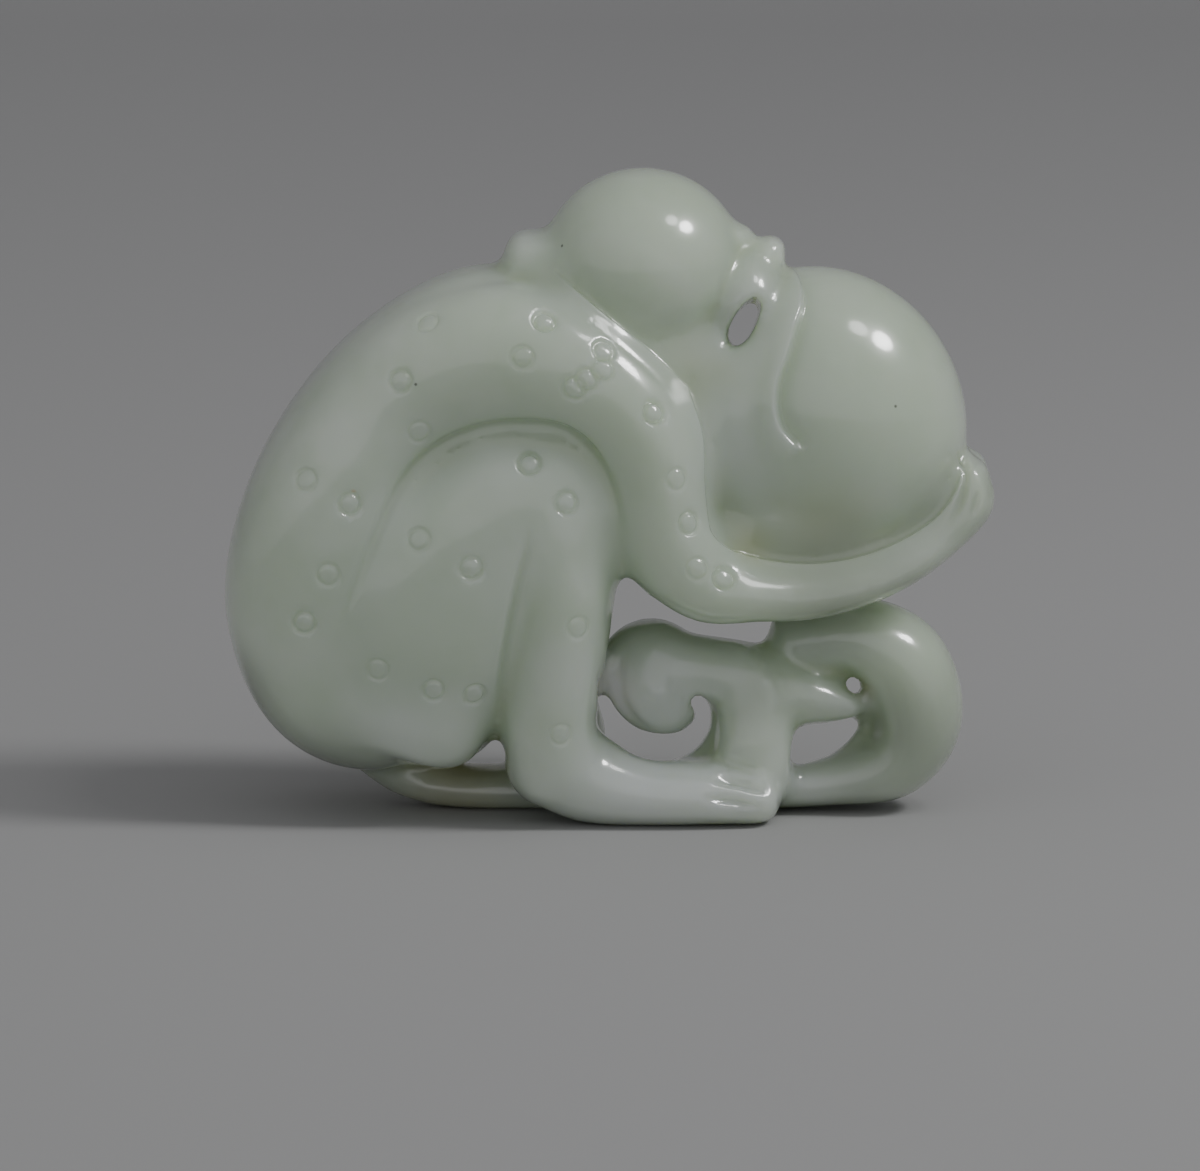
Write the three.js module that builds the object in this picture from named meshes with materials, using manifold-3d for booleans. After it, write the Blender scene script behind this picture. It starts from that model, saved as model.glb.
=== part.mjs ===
// Jade carving: a crouching, ring-spotted figure that holds a gourd, cut from one pebble.
// Millimetres, +Z up. The side that is carved in full faces -Y, the plainer back faces +Y.
// The carving stands on z = 0, and its box is centred on the Z axis.

import * as THREE from 'three';
import { LoftGeometry } from 'three/addons/geometries/LoftGeometry.js';
import { mergeVertices } from 'three/addons/utils/BufferGeometryUtils.js';
import Module from 'manifold-3d';

// Driving sizes
const FRONT_SIDES = 16;
const BACK_SIDES = 12;
const SECTION_SPACING = 4.3;
const SOLE = 0;
const FACET_TOLERANCE = 0.15;
const PLACES_TRIED = 120;
const END_ROUNDINGS = [ 70, 38 ];
const CURVED_CUT_STEPS = 18;
const OUTLINE_SEGMENTS = 6;

// How square a section is: 2 is an oval, more is flatter with fuller corners
const OVAL = 2;
const FULL = 2.3;
const FLAT = 2.6;
const PILLOW = 3.2;

// Stations of the limbs, from the body outwards: x, y and z of the middle of the limb,
// then half its width across the picture plane and half its depth along Y
const BACK = [
	[ -17.0, 0, 13.2, 8.4, 10 ],
	[ -22.5, 0, 14.5, 10.2, 10.8 ],
	[ -25.8, 0, 20.2, 9.3, 11.4 ],
	[ -25.6, 0, 27.4, 7.9, 11.7 ],
	[ -22.4, 0, 34.3, 7.3, 11.5 ],
	[ -17.4, 0, 39.5, 7.3, 10.9 ],
	[ -11.6, 0, 42.6, 7.4, 10.2 ],
	[ -6.6, 0, 43.2, 6.6, 9.4 ],
];

const UPPER_ARM = [
	[ -23.0, - 4.4, 33.6, 6.2, 6.6 ],
	[ -17.2, - 4.8, 39.7, 6.7, 6.8 ],
	[ -11.6, - 5.2, 42.2, 7.0, 7.1 ],
	[ -6.6, - 5.6, 42.2, 6.8, 7.1 ],
	[ -1.6, - 6.2, 40.2, 6.0, 6.7 ],
	[ 2.4, - 6.6, 36.8, 5.3, 6.3 ],
	[ 4.5, - 6.9, 32.3, 4.6, 6 ],
	[ 4.9, - 7.1, 28.0, 4.3, 5.8 ],
	[ 7.0, - 7.2, 24.6, 4.2, 5.6 ],
];

const FOREARM = [
	[ 6.0, - 7.2, 25.2, 4.8, 5.6 ],
	[ 9.1, - 7.1, 22.4, 3.8, 5.5 ],
	[ 13.4, - 6.9, 21.6, 2.8, 5.2 ],
	[ 18.0, - 6.3, 21.5, 2.6, 4.9 ],
	[ 22.4, - 5.5, 22.3, 2.4, 4.7 ],
	[ 26.6, - 4.5, 23.9, 2.2, 4.5 ],
	[ 30.0, - 3.6, 26.6, 2.4, 4.3 ],
	[ 32.2, - 2.8, 29.3, 3.1, 4.2 ],
	[ 32.3, - 2.2, 31.2, 2.1, 3.8 ],
];

const THIGH = [
	[ -18.8, - 5.4, 12.0, 8.6, 5.8 ],
	[ -17.2, - 5.9, 16.6, 9.2, 6.4 ],
	[ -13.8, - 6.1, 22.4, 9.7, 6.5 ],
	[ -8.2, - 6.1, 27.1, 9.3, 6.4 ],
];

const SHIN = [
	[ -4.8, - 6.3, 26.6, 5.7, 6.4 ],
	[ -3.9, - 6.7, 23.0, 4.6, 6.3 ],
	[ -4.3, - 6.8, 18.6, 4.4, 6.1 ],
	[ -5.0, - 6.6, 13.6, 4.3, 5.8 ],
	[ -5.5, - 6.3, 9.2, 4.3, 5.4 ],
	[ -4.9, - 6.0, 6.2, 4.5, 5 ],
];

const FOOT = [
	[ -5.0, - 5.9, 5.9, 4.6, 4.9 ],
	[ -1.4, - 5.6, 3.9, 4.0, 4.6 ],
	[ 3.8, - 5.7, 2.9, 3.1, 4.4 ],
	[ 9.0, - 5.7, 2.8, 2.9, 4.3 ],
	[ 13.2, - 5.6, 2.5, 2.6, 4 ],
];

const BACK_FOOT = [
	[ -5.2, 6.1, 5.4, 4.2, 4.6 ],
	[ -3.6, 6.1, 2.9, 3.3, 4.4 ],
];

// The stalk lies along the ground, turns up at the right and curls back as the big loop
const STALK = [
	[ -21.8, 2.2, 4.6, 1.7, 3.2 ],
	[ -18.6, 2.2, 2.9, 2.0, 3.6 ],
	[ -14.0, 2.2, 1.9, 2.0, 4 ],
	[ -6.0, 2.2, 1.8, 2.0, 4.2 ],
	[ 4.0, 2.0, 1.8, 2.1, 4.4 ],
	[ 13.0, 1.4, 2.2, 2.5, 4.6 ],
];

const LOOP = [
	[ 13.0, 1.4, 2.4, 2.5, 4.6 ],
	[ 19.6, 1.2, 2.7, 2.4, 4.8 ],
	[ 25.3, 0.6, 4.4, 3.2, 5.2 ],
	[ 28.0, 0, 8.6, 4.1, 5.4 ],
	[ 26.4, 0, 13.7, 4.4, 5.4 ],
	[ 22.4, 0, 16.3, 3.5, 5.2 ],
	[ 17.4, 0.4, 15.8, 3.2, 4.6 ],
];

const TONGUE = [
	[ 15.0, - 1.6, 11.9, 3.2, 4.4 ],
	[ 19.0, - 1.7, 10.9, 2.5, 3.9 ],
	[ 22.2, - 1.6, 10.1, 1.3, 2.9 ],
];

const COLUMN = [
	[ 12.6, - 2.2, 3.8, 3.9, 5.2 ],
	[ 13.2, - 2.4, 6.6, 3.7, 5.4 ],
	[ 13.4, - 2.0, 10.2, 3.6, 5.2 ],
	[ 13.2, - 1.4, 12.6, 3.0, 4.8 ],
];

const CURL = [
	[ 12.8, - 1.2, 12.6, 3.0, 4.8 ],
	[ 9.6, - 1.2, 13.2, 3.0, 4.6 ],
	[ 6.6, - 1.4, 13.4, 3.2, 4.6 ],
];

// Round masses: the middle, then the half sizes along X, Y and Z
const GOURD_TOP = { at: [ 2.95, 0, 50.4 ], half: [ 9.15, 9.4, 8.6 ] };
const GOURD_BOTTOM = { at: [ 19.8, 0, 36.8 ], half: [ 12.1, 10.8, 13.7 ], lean: -32 };
const GOURD_NECK = { at: [ 12.3, 0, 45.8 ], half: [ 4.4, 7.2, 6.6 ] };
const GOURD_COLLAR = { at: [ 19.2, 0, 37.5 ], half: [ 12.1, 11.25, 13.7 ], lean: -32 };
const GOURD_SIDE = { at: [ 12.8, 0, 36.8 ], half: [ 7.6, 9.4, 11.2 ] };
const GOURD_SEAT = { at: [ 16.5, 0, 27.2 ], half: [ 11.0, 8.6, 5.6 ] };
const GOURD_WAIST = { at: [ 6.0, 0, 42.6 ], half: [ 5.6, 7.6, 5.2 ] };
const HAUNCH = { at: [ -17.6, 0, 13.2 ], half: [ 10.3, 11.3, 8.6 ] };
const KNEE = { at: [ -6.7, - 6.2, 27.6 ], half: [ 8.1, 6.3, 8.8 ] };
const BELLY = { at: [ -14, 0, 24 ], half: [ 8, 8, 9 ] };
const CHEST = { at: [ 2.6, 0, 34.6 ], half: [ 10.5, 8.4, 9.4 ] };
const CURL_FACE = { at: [ 4.7, - 1.8, 12.2 ], half: [ 3.9, 3.9, 5.0 ] };
const CURL_RIM = { at: [ 3.8, - 0.4, 12.2 ], half: [ 5.2, 4.4, 5.5 ] };
const COLUMN_SIDE = { at: [ 11.2, 0.6, 6.6 ], half: [ 3.2, 3.8, 5.4 ] };
const COLUMN_FOOT = { at: [ 8.6, - 0.6, 3.6 ], half: [ 3.4, 4.6, 3.0 ] };
const LOOP_WEB = { at: [ 20.6, 0.6, 11.4 ], half: [ 5.6, 2.8, 5.4 ] };
const SHOULDER_FOLD = { at: [ -5.0, 0.2, 50.1 ], half: [ 4.5, 5.2, 3.15 ] };
const STEM_BUMPS = [
	{ at: [ 11.8, - 0.2, 53.2 ], half: [ 1.2, 2.8, 1.1 ] },
	{ at: [ 14.7, - 0.2, 51.5 ], half: [ 1.1, 3.0, 1.4 ] },
];

// The edge of the collar, as seen square on, from the stem bumps down to its curled end,
// and back round behind the arm
const COLLAR_EDGE = [
	[ 16.2, 53 ],
	[ 16.4, 50.2 ],
	[ 17.5, 48.4 ],
	[ 17.7, 46.4 ],
	[ 16.9, 44.1 ],
	[ 16.2, 41.6 ],
	[ 15.4, 39.3 ],
	[ 15.3, 36.9 ],
	[ 15.9, 34.9 ],
	[ 17.4, 33.2 ],
	[ 15.4, 29.5 ],
	[ 14.0, 24 ],
	[ 2.0, 24 ],
	[ 2.0, 53 ],
];

// Openings that go right through and slope down a little towards the back: the cord
// slot, the drilled eye and the pierced work of the vine
const CORD_SLOT = { at: [ 12.0, 44.9 ], half: [ 1.1, 2.4 ], lean: 28 };
const DRILLED_EYE = { at: [ 22.2, 11.6 ], half: [ 0.75, 1.05 ], lean: -35 };
const CURL_GAP = [
	[ -1.7, 13.6, 0.3 ],
	[ -1.2, 10.8, 0.7 ],
	[ 0.0, 8.4, 0.9 ],
	[ 2.0, 6.6, 1.1 ],
	[ 4.4, 5.9, 1.2 ],
	[ 6.7, 6.2, 1.1 ],
	[ 8.2, 7.5, 0.8 ],
	[ 8.6, 8.9, 0.65 ],
	[ 8.1, 10.0, 0.7 ],
	[ 7.2, 10.3, 0.7 ],
];
const LOOP_GAP = [
	[ 16.7, 4.6 ],
	[ 17.1, 7.4 ],
	[ 20.0, 8.0 ],
	[ 22.7, 8.5 ],
	[ 22.0, 6.9 ],
	[ 20.2, 5.3 ],
	[ 18.2, 4.5 ],
];
const CUT_SLOPE = 10;
const CUT_DEPTH = 60;

const wasm = await Module();
wasm.setup();
const { Manifold, Mesh: ManifoldMesh } = wasm;

function solidOf( geometry ) {

	const bare = new THREE.BufferGeometry().copy( geometry );
	bare.deleteAttribute( 'normal' );
	bare.deleteAttribute( 'uv' );
	const merged = mergeVertices( bare, 1e-4 );
	return new Manifold( new ManifoldMesh( {
		numProp: 3,
		vertProperties: Float32Array.from( merged.attributes.position.array ),
		triVerts: Uint32Array.from( merged.index.array ),
	} ) );

}

// A number pulled towards 1, so that a circle made of such numbers turns into a fuller shape
function fuller( value, square ) {

	return Math.sign( value ) * Math.abs( value ) ** ( 2 / square );

}

// Places along a line for its sections, closer together in the bends
function evenPlaces( line, sizes ) {

	const run = [ 0 ];

	for ( let i = 1; i <= PLACES_TRIED; i ++ ) {

		const bend = line.getTangent( i / PLACES_TRIED ).angleTo( line.getTangent( ( i - 1 ) / PLACES_TRIED ) );
		const step = line.getPoint( i / PLACES_TRIED ).distanceTo( line.getPoint( ( i - 1 ) / PLACES_TRIED ) );
		run.push( run[ i - 1 ] + step + bend * sizes.getPoint( i / PLACES_TRIED ).x );

	}

	const count = Math.ceil( run[ PLACES_TRIED ] / SECTION_SPACING );
	return Array.from( { length: count + 1 }, ( _, k ) => {

		const wanted = run[ PLACES_TRIED ] * k / count;
		return run.findIndex( ( r ) => r >= wanted - 1e-9 ) / PLACES_TRIED;

	} );

}

// A limb: rounded sections along a smooth line through its stations, with rounded ends
function limb( stations, square = OVAL, sides = FRONT_SIDES ) {

	const line = new THREE.CatmullRomCurve3( stations.map( ( [ x, y, z ] ) => new THREE.Vector3( x, y, z ) ) );
	const sizes = new THREE.CatmullRomCurve3( stations.map( ( [ , , , wide, deep ] ) => new THREE.Vector3( wide, deep, 0 ) ) );
	const places = evenPlaces( line, sizes );
	const sections = [];

	function addSection( t, push, shrink ) {

		const along = line.getTangent( t ).setY( 0 ).normalize();
		const across = new THREE.Vector3( - along.z, 0, along.x );
		const size = sizes.getPoint( t );
		const middle = line.getPoint( t ).addScaledVector( along, push * Math.min( size.x, size.y ) );
		const ring = [];

		for ( let i = 0; i < sides; i ++ ) {

			const angle = 2 * Math.PI * i / sides;
			ring.push( middle.clone()
				.addScaledVector( across, size.x * shrink * fuller( Math.cos( angle ), square ) )
				.add( new THREE.Vector3( 0, - size.y * shrink * fuller( Math.sin( angle ), square ), 0 ) ) );

		}

		sections.push( ring );

	}

	const roundings = END_ROUNDINGS.map( THREE.MathUtils.degToRad );
	for ( const turn of roundings ) addSection( 0, - Math.sin( turn ), Math.cos( turn ) );
	for ( const t of places ) addSection( t, 0, 1 );
	for ( const turn of roundings.reverse() ) addSection( 1, Math.sin( turn ), Math.cos( turn ) );

	return solidOf( new LoftGeometry( sections, { capStart: true, capEnd: true } ) );

}

// A round mass, flatter at the front and the back when it is square
function roundMass( { at, half, lean = 0 }, square = OVAL, around = 18, down = 10 ) {

	const geometry = new THREE.SphereGeometry( 1, around, down );
	geometry.rotateX( Math.PI / 2 );
	const places = geometry.attributes.position;

	for ( let i = 0; i < places.count; i ++ ) {

		const out = Math.hypot( places.getX( i ), places.getZ( i ) );
		const grow = out > 1e-6 ? fuller( out, square ) / out : 1;
		places.setXYZ( i, places.getX( i ) * grow, fuller( places.getY( i ), square ), places.getZ( i ) * grow );

	}

	geometry.scale( ...half );
	geometry.rotateY( THREE.MathUtils.degToRad( lean ) );
	geometry.translate( ...at );
	return solidOf( geometry );

}

// A limb of the side that faces -Y, with its plainer twin on the back
function pairOfLimbs( stations, square ) {

	return unite( [ limb( stations, square ), limb( stations, square, BACK_SIDES ).mirror( [ 0, 1, 0 ] ) ] );

}

// Cutters that run through the whole carving, sheared so that they drop towards the back
function cutter( shape ) {

	const geometry = new THREE.ExtrudeGeometry( shape, { depth: CUT_DEPTH, bevelEnabled: false, curveSegments: OUTLINE_SEGMENTS } );
	geometry.translate( 0, 0, - CUT_DEPTH / 2 );
	geometry.rotateX( Math.PI / 2 );
	const slope = Math.tan( THREE.MathUtils.degToRad( CUT_SLOPE ) );
	geometry.applyMatrix4( new THREE.Matrix4().makeShear( 0, 0, 0, - slope, 0, 0 ) );
	return solidOf( geometry );

}

function ovalCutter( { at, half, lean } ) {

	const shape = new THREE.Shape();
	shape.absellipse( at[ 0 ], at[ 1 ], half[ 0 ], half[ 1 ], 0, 2 * Math.PI, false, - THREE.MathUtils.degToRad( lean ) );
	return cutter( shape );

}

function roundedCutter( corners ) {

	const closed = new THREE.CatmullRomCurve3( corners.map( ( [ x, z ] ) => new THREE.Vector3( x, z, 0 ) ), true, 'catmullrom', 0.3 );
	return cutter( new THREE.Shape( closed.getPoints( corners.length * 2 ).slice( 0, - 1 )
		.map( ( { x, y } ) => new THREE.Vector2( x, y ) ) ) );

}

// A gap of changing width along a curved line
function curvedCutter( stations ) {

	const line = new THREE.CatmullRomCurve3( stations.map( ( [ x, z, half ] ) => new THREE.Vector3( x, z, half ) ) );
	const left = [];
	const right = [];

	for ( let i = 0; i <= CURVED_CUT_STEPS; i ++ ) {

		const { x, y, z: half } = line.getPoint( i / CURVED_CUT_STEPS );
		const along = line.getTangent( i / CURVED_CUT_STEPS ).setZ( 0 ).normalize();
		left.push( new THREE.Vector2( x - along.y * half, y + along.x * half ) );
		right.push( new THREE.Vector2( x + along.y * half, y - along.x * half ) );

	}

	return cutter( new THREE.Shape( [ ...left, ...right.reverse() ] ) );

}

function unite( solids ) {

	return solids.reduce( ( whole, next ) => whole.add( next ) );

}

function carve() {

	const figure = unite( [
		limb( BACK, FLAT ),
		roundMass( HAUNCH, FULL, 20, 10 ),
		roundMass( BELLY, OVAL, 12, 8 ),
		roundMass( CHEST ),
		roundMass( SHOULDER_FOLD, FLAT, 12, 8 ),
		pairOfLimbs( UPPER_ARM, FULL ),
		pairOfLimbs( FOREARM, OVAL ),
		pairOfLimbs( THIGH, FULL ),
		roundMass( KNEE, PILLOW, 16, 10 ),
		roundMass( KNEE, PILLOW, 12, 8 ).mirror( [ 0, 1, 0 ] ),
		pairOfLimbs( SHIN, FULL ),
		limb( FOOT, OVAL ),
		limb( BACK_FOOT, OVAL, BACK_SIDES ),
	] );

	const edge = new THREE.Shape( COLLAR_EDGE.map( ( [ x, z ] ) => new THREE.Vector2( x, z ) ) );
	const gourd = unite( [
		roundMass( GOURD_TOP, OVAL, 24, 12 ),
		roundMass( GOURD_BOTTOM, OVAL, 24, 14 ),
		roundMass( GOURD_NECK, OVAL, 16, 10 ),
		roundMass( GOURD_COLLAR, OVAL, 24, 14 ).intersect( cutter( edge ) ),
			roundMass( GOURD_SIDE, FULL, 20, 10 ),
		roundMass( GOURD_SEAT, OVAL, 16, 8 ),
		roundMass( GOURD_WAIST, OVAL, 12, 8 ),
		...STEM_BUMPS.map( ( bump ) => roundMass( bump, OVAL, 8, 6 ) ),
	] );

	const vine = unite( [
		limb( STALK, OVAL, BACK_SIDES ),
		limb( LOOP, OVAL ),
		limb( TONGUE, OVAL, BACK_SIDES ),
		limb( COLUMN, FULL, BACK_SIDES ),
		limb( CURL, FULL, BACK_SIDES ),
		roundMass( CURL_FACE, FLAT, 18, 10 ),
		roundMass( CURL_RIM, PILLOW, 18, 10 ),
		roundMass( COLUMN_SIDE, FLAT, 16, 8 ),
		roundMass( COLUMN_FOOT, OVAL, 12, 8 ),
		roundMass( LOOP_WEB, OVAL, 16, 6 ),
	] ).subtract( curvedCutter( CURL_GAP ) );

	const openings = unite( [
		ovalCutter( CORD_SLOT ),
		ovalCutter( DRILLED_EYE ),
		roundedCutter( LOOP_GAP ),
	] );

	const whole = unite( [ figure, gourd, vine ] ).subtract( openings );
	return whole.trimByPlane( [ 0, 0, 1 ], SOLE ).simplify( FACET_TOLERANCE );

}

function geometryOf( solid ) {

	const { numProp, vertProperties, triVerts } = solid.getMesh();
	const places = new Float32Array( vertProperties.length / numProp * 3 );
	for ( let i = 0; i < places.length / 3; i ++ ) {

		for ( let axis = 0; axis < 3; axis ++ ) places[ i * 3 + axis ] = vertProperties[ i * numProp + axis ];

	}

	const geometry = new THREE.BufferGeometry();
	geometry.setAttribute( 'position', new THREE.BufferAttribute( places, 3 ) );
	geometry.setIndex( new THREE.BufferAttribute( Uint32Array.from( triVerts ), 1 ) );
	geometry.computeVertexNormals();
	return geometry;

}

const jade = new THREE.MeshStandardMaterial( { color: 0xc3ccbf, roughness: 0.2, metalness: 0 } );
const carving = new THREE.Mesh( geometryOf( carve() ), jade );
carving.name = 'jade_carving';

const part = new THREE.Group();
part.add( carving );

export default part;
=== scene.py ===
"""A pierced carving of pale jade: a crouching, ring-spotted figure that clasps a double gourd."""

import math

import bmesh
import bpy
import numpy as np
from mathutils import Matrix, Vector
from mathutils.bvhtree import BVHTree


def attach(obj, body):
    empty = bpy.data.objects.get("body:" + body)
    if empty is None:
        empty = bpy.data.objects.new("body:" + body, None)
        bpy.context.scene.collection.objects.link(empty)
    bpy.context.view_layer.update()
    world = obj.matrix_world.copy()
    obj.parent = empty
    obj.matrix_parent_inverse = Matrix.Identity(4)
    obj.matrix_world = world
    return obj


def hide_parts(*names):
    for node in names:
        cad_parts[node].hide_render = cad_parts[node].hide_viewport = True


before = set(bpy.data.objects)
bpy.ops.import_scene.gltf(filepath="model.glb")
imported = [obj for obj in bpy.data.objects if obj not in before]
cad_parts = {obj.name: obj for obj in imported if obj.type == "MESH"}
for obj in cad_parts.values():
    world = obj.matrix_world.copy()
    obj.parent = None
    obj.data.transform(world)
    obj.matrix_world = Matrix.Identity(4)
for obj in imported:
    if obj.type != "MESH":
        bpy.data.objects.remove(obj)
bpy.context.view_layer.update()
MM = 0.001

# The camera: a long lens about 0.7 m in front of the carving, looking a little down on it.
LOOKS_DOWN = math.radians(10)
STANDS_BACK = 0.700
WIDTH_SEEN = 0.1091
looks_at = Vector((-0.9, 0, 20.8)) * MM
lens = bpy.data.cameras.new("long_lens")
lens.sensor_width = 36
lens.lens = 36 * STANDS_BACK / WIDTH_SEEN
lens.clip_start = 0.01
camera = bpy.data.objects.new("camera", lens)
bpy.context.collection.objects.link(camera)
backwards = Vector((0, -math.cos(LOOKS_DOWN), math.sin(LOOKS_DOWN)))
camera.location = looks_at + backwards * STANDS_BACK
camera.rotation_euler = backwards.to_track_quat("Z", "Y").to_euler()
bpy.context.scene.camera = camera

# The floor: a pale sheet that curves up behind the carving, as on a photographer's table.
SHEET_HALF = 1.2
SHEET_HEIGHT = 1.6
SHEET_BEND = 0.5
floor_bm = bmesh.new()
bmesh.ops.create_grid(floor_bm, x_segments=2, y_segments=2, size=SHEET_HALF)
far_edge = [e for e in floor_bm.edges if all(v.co.y > SHEET_HALF - 0.1 for v in e.verts)]
wall = bmesh.ops.extrude_edge_only(floor_bm, edges=far_edge)["geom"]
wall_top = [g for g in wall if isinstance(g, bmesh.types.BMVert)]
bmesh.ops.translate(floor_bm, vec=(0, 0, SHEET_HEIGHT), verts=wall_top)
bend = [e for e in floor_bm.edges if all(v.co.y > SHEET_HALF - 0.1 and v.co.z < 0.01 for v in e.verts)]
bmesh.ops.bevel(
    floor_bm, geom=bend, offset=SHEET_BEND, affect="EDGES", segments=12, profile=0.5, material=-1,
)
floor_mesh = bpy.data.meshes.new("floor")
floor_bm.to_mesh(floor_mesh)
floor_bm.free()
floor_mesh.shade_smooth()
floor = bpy.data.objects.new("floor", floor_mesh)
bpy.context.collection.objects.link(floor)
paper = bpy.data.materials.new("pale_paper")
paper.use_nodes = True
paper.node_tree.nodes["Principled BSDF"].inputs["Base Color"].default_value = (0.40, 0.40, 0.40, 1)
paper.node_tree.nodes["Principled BSDF"].inputs["Roughness"].default_value = 0.9
floor_mesh.materials.append(paper)


# The light: a softbox high on the right whose reflection is the gleam on every dome,
# a dimmer one beside it, and a dim room that is brighter in front.
def softbox(name, aim_from, distance, width, height, watts):
    lamp = bpy.data.lights.new(name, "AREA")
    lamp.shape = "ELLIPSE"
    lamp.size = width
    lamp.size_y = height
    lamp.energy = watts
    box = bpy.data.objects.new(name, lamp)
    bpy.context.collection.objects.link(box)
    direction = Vector(aim_from).normalized()
    box.location = looks_at + direction * distance
    box.rotation_euler = direction.to_track_quat("Z", "Y").to_euler()


softbox("softbox_right", (0.66, -0.20, 0.70), distance=0.8, width=0.22, height=0.165, watts=2.15)
softbox("softbox_beside", (0.46, -0.26, 0.86), distance=0.8, width=0.18, height=0.16, watts=0.44)
room = bpy.data.worlds.new("room")
room.use_nodes = True
air = room.node_tree.nodes["Background"]
air.inputs["Color"].default_value = (0.80, 0.80, 0.82, 1)
direction = room.node_tree.nodes.new("ShaderNodeTexCoord")
split = room.node_tree.nodes.new("ShaderNodeSeparateXYZ")
from_front = room.node_tree.nodes.new("ShaderNodeMapRange")
from_front.inputs["From Min"].default_value = 0.6
from_front.inputs["From Max"].default_value = -1.0
from_front.inputs["To Min"].default_value = 0.20
from_front.inputs["To Max"].default_value = 0.71
room.node_tree.links.new(direction.outputs["Generated"], split.inputs[0])
room.node_tree.links.new(split.outputs["Y"], from_front.inputs["Value"])
room.node_tree.links.new(from_front.outputs[0], air.inputs["Strength"])
bpy.context.scene.world = room

# The rough shape: limbs and round masses laid into each other, as the carver leaves them
# before polishing. A limb is a ball drawn out along its stations, each giving the middle
# (x, y, z), half the width and half the depth in millimetres.
FRONT, BACK = 1, -1
OVAL, FULL, FLAT, PILLOW = 2.0, 2.3, 2.6, 3.2
LINE_POINTS = 161
RING_STEP = 0.6
FEWEST_RINGS = 14
rough = bmesh.new()


def spline(stations, t):
    """The station at t, from 0 at the first to 1 at the last, on a smooth line through all."""
    place = min(max(t, 0), 1) * (len(stations) - 1)
    i = min(int(place), len(stations) - 2)
    f = place - i
    four = range(i - 1, i + 3)
    p0, p1, p2, p3 = (np.array(stations[min(max(k, 0), len(stations) - 1)], float) for k in four)
    if i == 0:
        p0 = 2 * p1 - p2
    if i == len(stations) - 2:
        p3 = 2 * p2 - p1
    square_part = 2 * p0 - 5 * p1 + 4 * p2 - p3
    cube_part = 3 * p1 - p0 - 3 * p2 + p3
    return 0.5 * (2 * p1 + (p2 - p0) * f + square_part * f**2 + cube_part * f**3)


def fuller(value, square):
    """Numbers pulled towards 1, so that a circle made of them turns into a fuller shape."""
    return np.sign(value) * np.abs(value) ** (2 / square)


def unit_ball(around, rings):
    ball = bmesh.new()
    bmesh.ops.create_uvsphere(ball, u_segments=around, v_segments=rings, radius=1)
    return ball, np.array([v.co for v in ball.verts])


def lay_in(ball, places):
    """Move the points of a ball to their places and add it to the rough shape."""
    for v, place in zip(ball.verts, places):
        v.co = place
    loose = bpy.data.meshes.new("loose")
    ball.to_mesh(loose)
    ball.free()
    rough.from_mesh(loose)
    bpy.data.meshes.remove(loose)


def limb(stations, square=OVAL, side=FRONT, around=48):
    steps = np.linspace(0, 1, LINE_POINTS)
    line = np.array([spline(stations, t) for t in steps])
    run = np.concatenate([[0], np.cumsum(np.linalg.norm(np.diff(line[:, :3], axis=0), axis=1))])
    ahead = np.gradient(line[:, (0, 2)], axis=0)
    ahead /= np.linalg.norm(ahead, axis=1)[:, None]
    first_cap, last_cap = min(line[0, 3:]), min(line[-1, 3:])
    whole = first_cap + run[-1] + last_cap
    ball, unit = unit_ball(around, max(FEWEST_RINGS, int(whole / RING_STEP)))
    reach = (np.arcsin(np.clip(unit[:, 2], -1, 1)) / math.pi + 0.5) * whole - first_cap
    turn = np.arctan2(unit[:, 1], unit[:, 0])
    along = np.clip(reach, 0, run[-1])
    x, y, z, wide, deep = (np.interp(along, run, line[:, k]) for k in range(5))
    ahead_x, ahead_z = (np.interp(along, run, ahead[:, k]) for k in range(2))
    beyond = reach - along
    part = np.clip(np.where(beyond < 0, -beyond / first_cap, beyond / last_cap), 0, 1)
    thin = (1 - part**square) ** (1 / square)
    across = wide * thin * fuller(np.cos(turn), square)
    places = np.stack([
        x + ahead_x * beyond - ahead_z * across,
        side * (y + deep * thin * fuller(np.sin(turn), square)),
        z + ahead_z * beyond + ahead_x * across,
    ], axis=1)
    lay_in(ball, places * MM)


def round_mass(at, half, square=OVAL, lean=0.0, around=56, rings=36):
    turned = Matrix.Translation(Vector(at) * MM) @ Matrix.Rotation(math.radians(lean), 4, "Y")
    ball, unit = unit_ball(around, rings)
    out = np.maximum(np.hypot(unit[:, 0], unit[:, 2]), 1e-9)
    grow = fuller(out, square) / out
    shaped = np.stack([unit[:, 0] * grow, fuller(unit[:, 1], square), unit[:, 2] * grow], axis=1)
    lay_in(ball, shaped * np.array(half) * MM @ np.array(turned)[:3, :3].T + np.array(turned)[:3, 3])


# The body: a curved back that comes down to the haunch, with the belly and the chest
# behind the limbs, and a small fold at the shoulder.
limb([
    (-17.0, 0, 13.2, 8.4, 10.0), (-22.5, 0, 14.5, 10.2, 10.8), (-25.8, 0, 20.2, 9.3, 11.4),
    (-25.6, 0, 27.4, 7.9, 11.7), (-22.4, 0, 34.3, 7.3, 11.5), (-17.4, 0, 39.5, 7.3, 10.9),
    (-11.6, 0, 42.6, 7.4, 10.2), (-6.6, 0, 43.2, 6.6, 9.4),
], FLAT, around=72)
round_mass((-17.6, 0, 13.2), (10.3, 11.3, 8.6), FULL)
round_mass((-14.0, 0, 24.0), (8.0, 8.0, 9.0))
round_mass((2.6, 0, 34.6), (10.5, 8.4, 9.4))
round_mass((-5.1, 0.2, 50.2), (4.7, 5.2, 3.3), FLAT)
round_mass((-7.5, 0.2, 51.1), (2.1, 4.6, 2.3), FLAT)

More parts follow.
